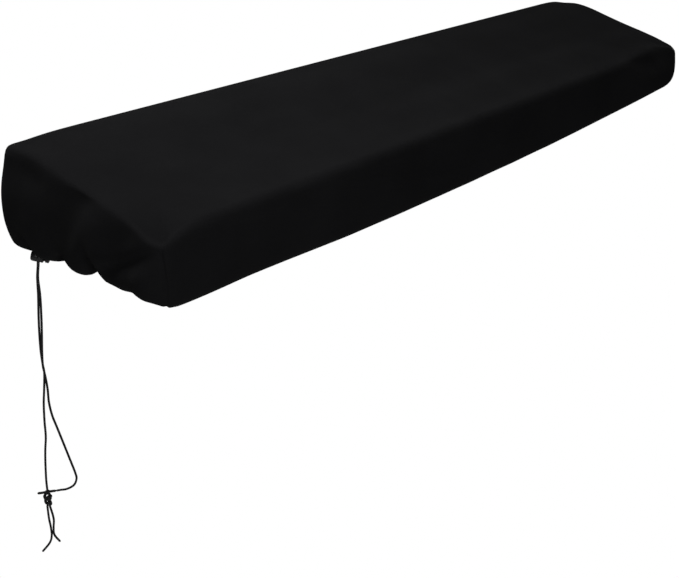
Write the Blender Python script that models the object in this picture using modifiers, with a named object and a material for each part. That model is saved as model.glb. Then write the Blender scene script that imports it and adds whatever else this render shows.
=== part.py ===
"""Fitted piano cover of stretch cloth, with a drawcord round its hem.

One cloth is cut as a rectangle without its four corner squares, the corner edges are sewn, and the
sides hang down and turn under to a drawn hem. Two ends of the cord leave the hem at the back of the
left end, pass a barrel cord lock and hang down to a knot with two short tails.
Metres, +Z up, +X along the cover to the right, -Y to the front. The origin is under the middle of
the top, where the cover lies on what it covers.
"""
from collections import namedtuple
from math import cos, exp, hypot, pi, radians, sin

import bmesh
import bpy
from mathutils import Matrix, Vector

# Driving dimensions of the cloth
LENGTH = 1.34
DEPTH = 0.27
CLOTH = 0.002
HEM = 0.005
EDGE_ROUND = 0.012
FOLD_ROUND = 0.018
LIP_RISE = radians(10)
LIP_RUN = 0.036
LIP_SLANT = 0.05
CORNER_REACH = 0.06
SEAM_BLEND = 0.03
GAP = 0.0003

# Driving dimensions of the cord, the cord lock and the knot
CORD = 0.003
CORD_STEP = 0.009
STRAND_PITCH = 0.0034
TWIST_TURNS = 0.5
TWIST_START = 0.034
TWIST_END = 0.168
STAY_APART = 0.88
BARREL = 0.014
BARREL_LENGTH = 0.016
BARREL_DROOP = radians(10)
LOCK_SEAT = 0.0013
BUTTON = 0.012
BUTTON_CAP = 0.0045
BUTTON_OUT = 0.0025
STEM = 0.009
STEM_LENGTH = 0.0065
BORE_DEPTH = 0.0055
SLOT_CLEARANCE = 0.0005
BARREL_EDGE = 0.0012
BUTTON_EDGE = 0.0008
TURNED_SIDES = 24
KNOT_WIDTH = 0.011
KNOT_HEIGHT = 0.022
KNOT_TURN = 0.0038
KNOT_SEAT = 0.0010

# The cloth's heights: across the top from front to back, and along the fold at the bottom
Row = namedtuple("Row", "at height")
TOP_ACROSS = [
    Row(-0.135, -0.0165), Row(-0.105, -0.0150), Row(-0.060, -0.0095), Row(-0.020, -0.0025),
    Row(0.020, 0.0065), Row(0.060, 0.0165), Row(0.085, 0.0215), Row(0.110, 0.0240), Row(0.135, 0.0257),
]
LOW_ALONG = [
    Row(-0.67, -0.1190), Row(-0.62, -0.1220), Row(-0.50, -0.1210), Row(-0.30, -0.1255),
    Row(-0.05, -0.1245), Row(0.20, -0.1195), Row(0.40, -0.1115), Row(0.55, -0.1045), Row(0.67, -0.0975),
]
LEFT_END_LIFT = [
    Row(-0.123, 0.002), Row(-0.105, 0.011), Row(-0.080, 0.013), Row(-0.050, 0.012),
    Row(-0.010, 0.006), Row(0.050, 0.000), Row(0.100, 0.0027), Row(0.123, 0.003),
]
LEFT_END_REACH = 0.06

# The four sewn corners: how far each droops, how round it is at the top and at the fold, and how
# far round the corner from the end the seam lies
Corner = namedtuple("Corner", "end side droop reach top_radius fold_radius seam")
CORNERS = [
    Corner(-1, -1, 0.022, 0.0425, 0.018, 0.030, radians(62)),
    Corner(1, -1, 0.011, 0.050, 0.022, 0.045, radians(45)),
    Corner(-1, 1, 0.005, 0.045, 0.008, 0.020, radians(45)),
    Corner(1, 1, 0.007, 0.045, 0.030, 0.040, radians(45)),
]

# How far each side swells between its top edge and its fold, and how sharp its top edge is
SWELL = {"left": 0.012, "right": 0.010, "front": 0.004, "back": 0.013}
SWELL_SAG = 1.3
EDGE_SHARP = {"left": 4.0, "right": 3.0, "front": 2.0, "back": 2.4}

# Soft folds on the sides, each along a line from one place to another, pushed out or in
Fold = namedtuple("Fold", "wall along_1 z_1 along_2 z_2 width push")
FOLDS = [
    Fold("left", -0.012, -0.012, 0.026, -0.082, 0.020, -0.0055),
    Fold("left", 0.078, -0.004, 0.060, -0.008, 0.010, -0.002),
    Fold("left", 0.085, -0.040, 0.080, -0.082, 0.038, 0.0045),
    Fold("left", -0.020, -0.032, -0.030, -0.072, 0.025, 0.005),
    Fold("left", -0.120, -0.042, -0.045, -0.084, 0.010, -0.006),
    Fold("left", -0.105, -0.087, -0.090, -0.097, 0.022, 0.005),
    Fold("right", -0.040, -0.030, -0.050, -0.085, 0.022, -0.006),
    Fold("right", 0.060, -0.010, 0.040, -0.075, 0.026, 0.005),
    Fold("back", -0.600, -0.020, -0.560, -0.090, 0.040, -0.004),
    Fold("back", 0.580, -0.020, 0.545, -0.080, 0.045, -0.005),
]

# A dent in the front edge near the right end: how far in, where, how far down, and where the
# top begins to follow it
DENT = 0.019
DENT_START = 0.40
DENT_MIDDLE = 0.59
DENT_END = 0.70
DENT_FALL = 0.060
DENT_BACK = 0.040

# Places where the drawn cord gathers the cloth: the fold is lifted and pulled in
Gather = namedtuple("Gather", "wall along lift pull width")
GATHERS = [
    Gather("left", 0.041, 0.011, 0.007, 0.017),
    Gather("left", 0.088, 0.005, 0.006, 0.014),
    Gather("left", -0.021, 0.017, 0.011, 0.013),
    Gather("left", -0.088, 0.002, 0.005, 0.012),
    Gather("right", -0.060, 0.006, 0.009, 0.016),
    Gather("right", 0.020, 0.007, 0.010, 0.018),
    Gather("right", 0.085, 0.005, 0.008, 0.015),
]

# Where the cord leaves the hem, and the direction in which the loose ends spread
EXIT_X = -0.6605
EXIT_Y = 0.095
SPREAD = Vector((0.620, -0.785, 0.0))
DEEPER = Vector((0.785, 0.620, 0.0))
EXIT_LIP_SHORTER = 0.020
EXIT_LIP_REACH = 0.05

# A stretch of a turned piece: its diameter, and its top and bottom along the axis
Stretch = namedtuple("Stretch", "diameter top bottom")

# The hanging cord, as side and drop from the middle of the lock
Point = namedtuple("Point", "side drop")
TOGETHER = [
    Point(0.0000, 0.010), Point(-0.0020, 0.030), Point(-0.0017, 0.055), Point(-0.0026, 0.085),
    Point(-0.0034, 0.110), Point(-0.0040, 0.135), Point(-0.0035, 0.155),
]
STRAIGHT_STRAND = [
    Point(-0.0028, 0.168), Point(-0.0045, 0.192), Point(-0.0065, 0.215), Point(-0.0072, 0.242),
    Point(-0.0070, 0.266), Point(-0.0090, 0.288), Point(-0.0102, 0.310), Point(-0.0105, 0.335),
]
BOWED_STRAND = [
    Point(-0.0010, 0.170), Point(0.0010, 0.190), Point(0.0015, 0.210), Point(0.0045, 0.230),
    Point(0.0097, 0.248), Point(0.0150, 0.266), Point(0.0205, 0.285), Point(0.0260, 0.304),
    Point(0.0305, 0.320), Point(0.0318, 0.330), Point(0.0275, 0.341), Point(0.0175, 0.3485),
    Point(0.0085, 0.3510),
]
KNOT_MIDDLE = Point(-0.0098, 0.366)
KNOT_TURN_ROUTE = [
    Point(-0.0235, 0.3590), Point(-0.0150, 0.3570), Point(-0.0060, 0.3545), Point(0.0020, 0.3528),
]
LONG_TAIL = [
    Point(-0.0115, 0.3776), Point(-0.0105, 0.400), Point(-0.0088, 0.415), Point(-0.0085, 0.430),
    Point(-0.0120, 0.4425), Point(-0.0230, 0.4585),
]
SHORT_TAIL = [
    Point(-0.0081, 0.3776), Point(-0.0040, 0.400), Point(-0.0050, 0.416), Point(-0.0045, 0.428),
    Point(0.0030, 0.4395),
]

# Rows of the cloth's grid: steps across the top, and steps down each part of the sides
COLUMNS = 32
ROWS = 18
END_STEPS = [0.0, 0.008, 0.018, 0.032]
EDGE_STEPS = 2
WALL_STEPS = 6
FOLD_STEPS = 3
LIP_STEPS = 2
SIDE_STEPS = EDGE_STEPS + WALL_STEPS + FOLD_STEPS + LIP_STEPS

TOP_HALF_X = LENGTH / 2 - EDGE_ROUND
TOP_HALF_Y = DEPTH / 2 - EDGE_ROUND


def smooth_row(table, value):
    """Height at a value, on a smooth curve through a table's rows."""
    if value <= table[0].at:
        return table[0].height
    if value >= table[-1].at:
        return table[-1].height
    k = 0
    while value > table[k + 1].at:
        k += 1
    first, second = table[k], table[k + 1]
    step = second.at - first.at
    s = (value - first.at) / step

    def slope(row):
        low, high = table[max(row - 1, 0)], table[min(row + 1, len(table) - 1)]
        return (high.height - low.height) / (high.at - low.at)

    rise = s * s * (3 - 2 * s)
    bend_1 = s * (1 - s) ** 2 * slope(k) * step
    bend_2 = s * s * (s - 1) * slope(k + 1) * step
    return first.height * (1 - rise) + second.height * rise + bend_1 + bend_2


def bell(distance, width):
    """One at no distance, falling softly to nothing past about two widths."""
    return exp(-(distance / width) ** 2)


def ramp(value, start, end):
    """Zero before start, one after end, smooth between."""
    s = max(0.0, min(1.0, (value - start) / (end - start)))
    return s * s * (3 - 2 * s)


def line_distance(px, pz, fold):
    """Distance of a place on a wall from the line of a fold."""
    dx, dz = fold.along_2 - fold.along_1, fold.z_2 - fold.z_1
    s = ((px - fold.along_1) * dx + (pz - fold.z_1) * dz) / (dx * dx + dz * dz)
    s = max(0.0, min(1.0, s))
    return hypot(px - fold.along_1 - s * dx, pz - fold.z_1 - s * dz)


def top_height(x, y):
    """Outer face of the top: a profile from front to back, drooping at the corners."""
    z = smooth_row(TOP_ACROSS, y)
    for corner in CORNERS:
        away = hypot(x - corner.end * LENGTH / 2, y - corner.side * DEPTH / 2)
        z -= corner.droop * bell(away, corner.reach)
    return z


def dent(x, y, down):
    """How far the front edge is pressed in near the right end, less and less down the side."""
    along = ramp(x, DENT_START, DENT_MIDDLE) * (1 - ramp(x, DENT_MIDDLE, DENT_END))
    return DENT * along * ramp(-y, DENT_BACK, TOP_HALF_Y) * (1 - ramp(down, 0.0, DENT_FALL))


def low_height(x, y):
    """Lowest height of the side that hangs from the top's edge at x, y."""
    end_lift = smooth_row(LEFT_END_LIFT, y) * bell(x + LENGTH / 2, LEFT_END_REACH)
    return smooth_row(LOW_ALONG, x) + end_lift


def lip_run(x, y):
    """How far the hem runs in under the cover. The drawn cord bunches it where it comes out."""
    bunched = EXIT_LIP_SHORTER * bell(hypot(x + LENGTH / 2, y - EXIT_Y), EXIT_LIP_REACH)
    return LIP_RUN - LIP_SLANT * y - bunched


def side_section(ring, fall, lip, sharp):
    """Out, down and turn of the cloth at a ring: over the edge, down, round the fold and in."""
    if ring <= EDGE_STEPS:
        turn = pi / 2 * ring / EDGE_STEPS
        out = EDGE_ROUND * (max(0.0, sin(turn)) ** (2 / sharp) - 1)
        return out, EDGE_ROUND * (1 - max(0.0, cos(turn)) ** (2 / sharp)), turn
    ring -= EDGE_STEPS
    wall = fall - EDGE_ROUND - FOLD_ROUND
    if ring <= WALL_STEPS:
        return 0.0, EDGE_ROUND + wall * ring / WALL_STEPS, pi / 2
    ring -= WALL_STEPS
    whole_turn = pi / 2 + LIP_RISE
    turn = whole_turn * min(ring / FOLD_STEPS, 1.0)
    run = lip * max(ring - FOLD_STEPS, 0) / LIP_STEPS
    out = FOLD_ROUND * (cos(turn) - 1) - run * cos(LIP_RISE)
    down = EDGE_ROUND + wall + FOLD_ROUND * sin(turn) - run * sin(LIP_RISE)
    return out, down, pi / 2 + turn


def corner_at(x, y):
    """The sewn corner nearest to a place."""
    return next(corner for corner in CORNERS if corner.end * x >= 0 and corner.side * y >= 0)


def corner_radius(corner, inset, share):
    """Radius of a ring's corner, from none inside the top to the fold's."""
    if inset > 0:
        return corner.top_radius * max(0.0, 1 - inset / CORNER_REACH)
    return corner.top_radius + (corner.fold_radius - corner.top_radius) * share


def ring_place(x, y, inset, out, share, on_end):
    """Place and outward direction on a rounded ring, for the place x, y on the straight one."""
    corner = corner_at(x, y)
    radius = corner_radius(corner, inset, share)
    if on_end:
        across, along = x, y
        half_across, half_along = LENGTH / 2, DEPTH / 2
    else:
        across, along = y, x
        half_across, half_along = DEPTH / 2, LENGTH / 2
    side = 1 if across > 0 else -1
    way = 1 if along > 0 else -1
    half = half_along - EDGE_ROUND - inset
    to_corner = half - abs(along)
    reach_across, reach_along = half_across + out, half_along + out
    if to_corner < radius:
        turn = (corner.seam if on_end else pi / 2 - corner.seam) * (1 - to_corner / radius)
        place_across = reach_across - radius + radius * cos(turn)
        place_along = way * (reach_along - radius + radius * sin(turn))
        normal_across, normal_along = side * cos(turn), way * sin(turn)
    else:
        place_across = reach_across
        place_along = along * (reach_along - radius) / max(half - radius, CLOTH)
        normal_across, normal_along = side, 0.0
    if on_end:
        return side * place_across, place_along, normal_across, normal_along
    return place_along, side * place_across, normal_along, normal_across


def top_place(x, y):
    """A place on the top, on rings that grow rounder at the corners towards the edge."""
    to_end, to_side = TOP_HALF_X - abs(x), TOP_HALF_Y - abs(y)
    inset = min(to_end, to_side)
    place_x, place_y, _, _ = ring_place(x, y, inset, -EDGE_ROUND - inset, 0.0, to_end <= to_side)
    return place_x, place_y + dent(x, y, 0.0), top_height(x, y)


def wall_of(x, y, on_end):
    """The side that a place belongs to, and how far along that side it lies."""
    if on_end:
        return ("left" if x < 0 else "right"), y
    return ("front" if y < 0 else "back"), x


def gathered(x, y, on_end):
    """How far the drawn cord lifts the fold and pulls it in below the top's edge at x, y."""
    wall, along = wall_of(x, y, on_end)
    lift = pull = 0.0
    for gather in GATHERS:
        if gather.wall == wall:
            share = bell(along - gather.along, gather.width)
            lift += gather.lift * share
            pull += gather.pull * share
    return lift, pull


def side_push(x, y, z, share, on_wall, on_end):
    """How far one side stands out at a height, with its swell, folds and gathers."""
    wall, along = wall_of(x, y, on_end)
    _, pull = gathered(x, y, on_end)
    push = SWELL[wall] * sin(pi * share ** SWELL_SAG) * on_wall - pull * share ** 2
    for fold in FOLDS:
        if fold.wall == wall:
            push += fold.push * bell(line_distance(along, z, fold), fold.width) * on_wall
    return push


def seam_sharp(x, y):
    """At a corner both sides turn over the top's edge alike, by their mean."""
    return (EDGE_SHARP[wall_of(x, y, True)[0]] + EDGE_SHARP[wall_of(x, y, False)[0]]) / 2


def seam_push(x, y, z, share, on_wall):
    """Where two sides meet at a corner seam both stand out equally far, by their mean."""
    corner_x = TOP_HALF_X if x > 0 else -TOP_HALF_X
    corner_y = TOP_HALF_Y if y > 0 else -TOP_HALF_Y
    pushes = [side_push(corner_x, corner_y, z, share, on_wall, on_end) for on_end in (True, False)]
    return sum(pushes) / 2


def side_place(x, y, ring, on_end):
    """A place on a side, rings down from the top's edge at x, y."""
    wall, along = wall_of(x, y, on_end)
    top = top_height(x, y)
    fall = top - low_height(x, y) - gathered(x, y, on_end)[0]
    to_seam = (TOP_HALF_Y if on_end else TOP_HALF_X) - abs(along)
    at_seam = 1 - ramp(to_seam, 0.0, SEAM_BLEND)
    sharp = EDGE_SHARP[wall] + (seam_sharp(x, y) - EDGE_SHARP[wall]) * at_seam
    out, down, turn = side_section(ring, fall, lip_run(x, y), sharp)
    share = max(0.0, min(1.0, down / fall))
    place_x, place_y, normal_x, normal_y = ring_place(x, y, 0.0, out, share, on_end)
    z = top - down
    on_wall = ramp(turn, radians(20), radians(85)) * (1 - ramp(turn, radians(100), radians(175)))
    push = side_push(x, y, z, share, on_wall, on_end)
    if at_seam:
        push += (seam_push(x, y, z, share, on_wall) - push) * at_seam
    flat, steep = cos(turn), sin(turn)
    place_y += dent(x, y, down)
    return place_x + normal_x * steep * push, place_y + normal_y * steep * push, z + flat * push


def stations(half, count):
    """Places across the top, closer together at both ends."""
    inner = half - END_STEPS[-1]
    ends = [half - step for step in END_STEPS[:-1]]
    middle = [inner * (2 * k / count - 1) for k in range(count + 1)]
    return [-end for end in ends] + middle + ends[::-1]


def add_material(name, colour, roughness):
    material = bpy.data.materials.new(name)
    material.use_nodes = True
    surface = material.node_tree.nodes["Principled BSDF"]
    surface.inputs["Base Color"].default_value = (*colour, 1.0)
    surface.inputs["Roughness"].default_value = roughness
    surface.inputs["Metallic"].default_value = 0.0
    material.diffuse_color = (*colour, 1.0)
    return material


def add_object(name, shape, collection, material=None):
    piece = bpy.data.objects.new(name, shape)
    collection.objects.link(piece)
    if material:
        shape.materials.append(material)
    return piece


def build_cover(collection):
    """The flat cut as a grid, its corner squares out, its corner seams sewn, then draped."""
    columns, rows = stations(TOP_HALF_X, COLUMNS), stations(TOP_HALF_Y, ROWS)
    across, deep = len(columns) - 1, len(rows) - 1
    mesh = bpy.data.meshes.new("cover")
    sheet = bmesh.new()
    count_x, count_y = across + 2 * SIDE_STEPS, deep + 2 * SIDE_STEPS
    bmesh.ops.create_grid(sheet, x_segments=count_x, y_segments=count_y, size=1.0)
    hem = sheet.verts.layers.deform.verify()
    in_corner = []
    for face in sheet.faces:
        middle = face.calc_center_median()
        past_x = abs(middle.x) * count_x > across
        past_y = abs(middle.y) * count_y > deep
        if past_x and past_y:
            in_corner.append(face)
    bmesh.ops.delete(sheet, geom=in_corner, context="FACES")
    for vertex in sheet.verts:
        i = round((vertex.co.x + 1) / 2 * count_x) - SIDE_STEPS
        j = round((vertex.co.y + 1) / 2 * count_y) - SIDE_STEPS
        past_x, past_y = max(-i, i - across, 0), max(-j, j - deep, 0)
        x, y = columns[min(max(i, 0), across)], rows[min(max(j, 0), deep)]
        ring = max(past_x, past_y)
        vertex.co = side_place(x, y, ring, past_x > 0) if ring else top_place(x, y)
        vertex[hem][0] = 1.0 if ring == SIDE_STEPS else CLOTH / HEM
    bmesh.ops.remove_doubles(sheet, verts=sheet.verts, dist=0.0001)
    sheet.to_mesh(mesh)
    sheet.free()
    cloth = add_material("black_stretch_cloth", (0.011, 0.011, 0.012), 0.85)
    cover = add_object("cover", mesh, collection, cloth)
    cover.vertex_groups.new(name="thickness")
    mesh.shade_smooth()
    wall = cover.modifiers.new("cloth_thickness", "SOLIDIFY")
    wall.thickness = HEM
    wall.offset = -1.0
    wall.vertex_group = "thickness"
    wall.use_rim = True
    return cover


def exit_height():
    """Underside of the hem where the cord comes out, read off the drape at the nearest row."""
    rings = range(EDGE_STEPS + WALL_STEPS, EDGE_STEPS + WALL_STEPS + FOLD_STEPS + 1)
    return min(side_place(-TOP_HALF_X, EXIT_Y, ring, True)[2] for ring in rings)


def world_place(middle, point, deeper=0.0):
    """A side and drop from the middle of the lock, as a place in space."""
    return middle + SPREAD * point.side + DEEPER * deeper - Vector((0.0, 0.0, point.drop))


def smooth_route(points, step):
    """Evenly spaced places on a smooth curve through hand-chosen ones."""
    fine = []
    ends = [points[0] * 2 - points[1]] + points + [points[-1] * 2 - points[-2]]
    for before, start, end, after in zip(ends, ends[1:], ends[2:], ends[3:]):
        for k in range(20):
            s = k / 20
            straight = start * 2 + (end - before) * s
            bent = (before * 2 - start * 5 + end * 4 - after) * s * s
            fine.append((straight + bent + (start * 3 - before - end * 3 + after) * s ** 3) / 2)
    fine.append(points[-1])
    lengths = [0.0]
    for first, second in zip(fine, fine[1:]):
        lengths.append(lengths[-1] + (second - first).length)
    count = max(2, round(lengths[-1] / step))
    route = []
    k = 0
    for number in range(count + 1):
        target = lengths[-1] * number / count
        while k < len(fine) - 2 and lengths[k + 1] < target:
            k += 1
        s = (target - lengths[k]) / (lengths[k + 1] - lengths[k])
        route.append(fine[k].lerp(fine[k + 1], s))
    return route


def strand_route(middle, exit_point, own, side):
    """From the hem through the lock, twisted with the other strand, then on its own way down."""
    points = [exit_point - Vector((0.0, 0.0, GAP)), middle]
    points += [world_place(middle, point) for point in TOGETHER + own]
    route = smooth_route(points, CORD_STEP)
    places = []
    for number, place in enumerate(route):
        twist = (middle.z - place.z - TWIST_START) / (TWIST_END - TWIST_START)
        turn = 2 * pi * TWIST_TURNS * max(0.0, min(1.0, twist))
        apart = side * STRAND_PITCH / 2 * (1 - ramp(number / (len(route) - 1), STAY_APART, 1.0))
        places.append(place + SPREAD * (apart * sin(turn)) + DEEPER * (apart * cos(turn)))
    return places


def add_tube(name, route, thickness, collection, material):
    """A round cord through a route's places, with filled ends."""
    curve = bpy.data.curves.new(name, "CURVE")
    curve.dimensions = "3D"
    curve.bevel_depth = thickness / 2
    curve.bevel_resolution = 2
    curve.use_fill_caps = True
    spline = curve.splines.new("POLY")
    spline.points.add(len(route) - 1)
    for place, vertex in zip(route, spline.points):
        vertex.co = (*place, 1.0)
    return add_object(name, curve, collection, material)


def make_mesh(tube, collection):
    """A curve's shape as a closed mesh, so that it can be joined or cut."""
    depsgraph = bpy.context.evaluated_depsgraph_get()
    mesh = bpy.data.meshes.new_from_object(tube.evaluated_get(depsgraph))
    body = bmesh.new()
    body.from_mesh(mesh)
    bmesh.ops.remove_doubles(body, verts=body.verts, dist=0.00001)
    bmesh.ops.recalc_face_normals(body, faces=body.faces)
    body.to_mesh(mesh)
    body.free()
    name = tube.name
    bpy.data.objects.remove(tube)
    return add_object(name, mesh, collection)


def add_guide(piece, hidden):
    """Keeps a cutter or a piece that is joined into another out of the model."""
    for owner in piece.users_collection:
        owner.objects.unlink(piece)
    hidden.objects.link(piece)
    piece.hide_render = True
    piece.display_type = "WIRE"


def add_boolean(piece, other, operation):
    change = piece.modifiers.new(operation.lower(), "BOOLEAN")
    change.operation = operation
    change.object = other


def add_turned(name, stretches, place, collection, material=None, edge=0.0):
    """Cylinders end to end down their shared axis, each a diameter with its top and bottom."""
    profile = [(0.0, stretches[0].top)]
    for stretch in stretches:
        profile += [(stretch.diameter / 2, stretch.top), (stretch.diameter / 2, stretch.bottom)]
    profile.append((0.0, stretches[-1].bottom))
    mesh = bpy.data.meshes.new(name)
    edges = [(k, k + 1) for k in range(len(profile) - 1)]
    mesh.from_pydata([(radius, 0.0, z) for radius, z in profile], edges, [])
    piece = add_object(name, mesh, collection, material)
    piece.matrix_world = place
    turning = piece.modifiers.new("turning", "SCREW")
    turning.steps = TURNED_SIDES
    turning.render_steps = TURNED_SIDES
    turning.use_merge_vertices = True
    turning.merge_threshold = 0.00001
    if edge:
        rounding = piece.modifiers.new("round_edges", "BEVEL")
        rounding.width = edge
        rounding.segments = 2
        rounding.limit_method = "ANGLE"
    return piece


def build_lock(middle, collection, hidden):
    """Barrel cord lock: a body with a blind bore and a slot for both strands, and its button."""
    plastic = add_material("black_plastic", (0.016, 0.016, 0.017), 0.38)
    level = DEEPER.normalized()
    upright = Matrix((SPREAD.normalized(), level, Vector((0.0, 0.0, 1.0)))).transposed().to_4x4()
    upright.translation = middle
    lying = upright @ Matrix.Rotation(pi / 2 + BARREL_DROOP, 4, "Y")
    half = BARREL_LENGTH / 2
    barrel = [Stretch(BARREL, half, -half)]
    body = add_turned("cord_lock_body", barrel, lying, collection, plastic, BARREL_EDGE)
    bore_shape = [Stretch(STEM + 2 * GAP, half + BARREL, half - BORE_DEPTH)]
    bore = add_turned("button_bore", bore_shape, lying, collection)
    slot = bpy.data.meshes.new("strand_slot")
    cut = bmesh.new()
    wide, narrow = STRAND_PITCH + CORD + 2 * SLOT_CLEARANCE, CORD + 2 * SLOT_CLEARANCE
    bmesh.ops.create_cube(cut, size=1.0, matrix=Matrix.Diagonal((narrow, wide, 2 * BARREL, 1.0)))
    cut.to_mesh(slot)
    cut.free()
    strand_slot = add_object("strand_slot", slot, collection)
    strand_slot.matrix_world = upright
    for cutter in (bore, strand_slot):
        add_boolean(body, cutter, "DIFFERENCE")
        add_guide(cutter, hidden)
    cap = half + BUTTON_OUT
    button_shape = [Stretch(BUTTON, cap + BUTTON_CAP, cap), Stretch(STEM, cap, cap - STEM_LENGTH)]
    add_turned("cord_lock_button", button_shape, lying, collection, plastic.copy(), BUTTON_EDGE)


def build_knot(middle, collection, hidden, material):
    """The knot's outer shape: a long lump and the turn across its top, whose end sticks out."""
    mesh = bpy.data.meshes.new("knot")
    body = bmesh.new()
    bmesh.ops.create_uvsphere(body, u_segments=16, v_segments=10, radius=0.5)
    bmesh.ops.scale(body, vec=(KNOT_WIDTH, KNOT_WIDTH, KNOT_HEIGHT), verts=body.verts)
    body.to_mesh(mesh)
    body.free()
    mesh.shade_smooth()
    knot = add_object("knot", mesh, collection, material)
    knot.location = world_place(middle, KNOT_MIDDLE)
    route = smooth_route([world_place(middle, point) for point in KNOT_TURN_ROUTE], KNOT_TURN)
    turn = make_mesh(add_tube("knot_turn", route, KNOT_TURN, collection, None), collection)
    add_boolean(knot, turn, "UNION")
    add_guide(turn, hidden)


def build_cords(middle, exit_point, collection, hidden):
    """Both strands from the hem to the knot, and the two tails below it."""
    cord = add_material("black_cord", (0.013, 0.013, 0.014), 0.7)
    turn_middle = (KNOT_TURN_ROUTE[1].drop + KNOT_TURN_ROUTE[2].drop) / 2
    over_turn = Point(KNOT_MIDDLE.side, turn_middle - KNOT_TURN / 2 - KNOT_SEAT)
    turn_end = Point(KNOT_TURN_ROUTE[-1].side + GAP, KNOT_TURN_ROUTE[-1].drop)
    straight = strand_route(middle, exit_point, STRAIGHT_STRAND + [over_turn], -1)
    bowed = strand_route(middle, exit_point, BOWED_STRAND + [turn_end], 1)
    add_tube("strand_straight", straight, CORD, collection, cord)
    add_tube("strand_bowed", bowed, CORD, collection, cord.copy())
    build_knot(middle, collection, hidden, cord.copy())
    for name, tail in (("tail_long", LONG_TAIL), ("tail_short", SHORT_TAIL)):
        route = smooth_route([world_place(middle, point) for point in tail], CORD_STEP)
        add_tube(name, route, CORD, collection, cord.copy())


def main():
    for piece in list(bpy.data.objects):
        bpy.data.objects.remove(piece)
    collection = bpy.data.collections.new("piano_cover")
    hidden = bpy.data.collections.new("cutters")
    for group in (collection, hidden):
        bpy.context.scene.collection.children.link(group)
    build_cover(collection)
    exit_point = Vector((EXIT_X, EXIT_Y, exit_height()))
    middle = exit_point - Vector((0.0, 0.0, BARREL / 2 + LOCK_SEAT))
    build_lock(middle, collection, hidden)
    build_cords(middle, exit_point, collection, hidden)


main()
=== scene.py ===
"""Looks of the fitted piano cover.

Fine stretch cloth with its folds and drawn hem, braided cord, lock and knot.
"""

from collections import namedtuple
from math import cos, exp, hypot, pi, radians, sin

import bmesh
import bpy
from mathutils import Matrix, Vector, noise


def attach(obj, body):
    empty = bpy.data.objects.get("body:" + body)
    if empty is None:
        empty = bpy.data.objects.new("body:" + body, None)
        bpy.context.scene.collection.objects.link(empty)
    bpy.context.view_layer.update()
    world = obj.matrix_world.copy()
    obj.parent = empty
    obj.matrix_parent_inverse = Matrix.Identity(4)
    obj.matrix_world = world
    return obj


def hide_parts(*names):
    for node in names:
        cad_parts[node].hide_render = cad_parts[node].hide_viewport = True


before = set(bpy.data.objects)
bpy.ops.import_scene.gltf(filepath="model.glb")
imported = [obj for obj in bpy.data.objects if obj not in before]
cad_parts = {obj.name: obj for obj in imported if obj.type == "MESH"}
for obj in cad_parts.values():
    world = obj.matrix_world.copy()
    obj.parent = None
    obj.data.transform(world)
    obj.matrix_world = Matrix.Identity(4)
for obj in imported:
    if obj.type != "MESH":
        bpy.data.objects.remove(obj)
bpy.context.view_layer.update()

# Driving dimensions, the same as in the solids
LENGTH = 1.34
DEPTH = 0.27
EDGE_ROUND = 0.012
FOLD_ROUND = 0.018
LIP_RISE = radians(10)
LIP_RUN = 0.036
LIP_SLANT = 0.05
CORNER_REACH = 0.06
SEAM_BLEND = 0.03
GAP = 0.0003
CORD = 0.003
STRAND_PITCH = 0.0034
TWIST_TURNS = 0.5
TWIST_START = 0.034
TWIST_END = 0.168
STAY_APART = 0.88
BARREL = 0.014
BARREL_LENGTH = 0.016
BARREL_DROOP = radians(10)
LOCK_SEAT = 0.0013
BUTTON = 0.012
BUTTON_CAP = 0.0045
BUTTON_OUT = 0.0025
STEM = 0.009
STEM_LENGTH = 0.0065
BORE_DEPTH = 0.0055
SLOT_CLEARANCE = 0.0005
KNOT_WIDTH = 0.011
KNOT_HEIGHT = 0.022
KNOT_TURN = 0.0038
KNOT_SEAT = 0.0010

# The cloth's heights: across the top from front to back, and along the fold at the bottom
Row = namedtuple("Row", "at height")
TOP_ACROSS = [
    Row(-0.135, -0.0165), Row(-0.105, -0.0150), Row(-0.060, -0.0095), Row(-0.020, -0.0025),
    Row(0.020, 0.0065), Row(0.060, 0.0165), Row(0.085, 0.0215), Row(0.110, 0.0240), Row(0.135, 0.0257),
]
LOW_ALONG = [
    Row(-0.67, -0.1190), Row(-0.62, -0.1220), Row(-0.50, -0.1210), Row(-0.30, -0.1255),
    Row(-0.05, -0.1245), Row(0.20, -0.1195), Row(0.40, -0.1115), Row(0.55, -0.1045), Row(0.67, -0.0975),
]
LEFT_END_LIFT = [
    Row(-0.123, 0.002), Row(-0.105, 0.011), Row(-0.080, 0.013), Row(-0.050, 0.012),
    Row(-0.010, 0.006), Row(0.050, 0.000), Row(0.100, 0.0027), Row(0.123, 0.003),
]
LEFT_END_REACH = 0.06

# The four sewn corners: how far each droops, how round it is at the top and at the fold, and how
# far round the corner from the end the seam lies
Corner = namedtuple("Corner", "end side droop reach top_radius fold_radius seam")
CORNERS = [
    Corner(-1, -1, 0.022, 0.0425, 0.018, 0.030, radians(62)),
    Corner(1, -1, 0.011, 0.050, 0.022, 0.045, radians(45)),
    Corner(-1, 1, 0.005, 0.045, 0.008, 0.020, radians(45)),
    Corner(1, 1, 0.007, 0.045, 0.030, 0.040, radians(45)),
]
SWELL = {"left": 0.012, "right": 0.010, "front": 0.004, "back": 0.013}
SWELL_SAG = 1.3
EDGE_SHARP = {"left": 4.0, "right": 3.0, "front": 2.0, "back": 2.4}

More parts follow.
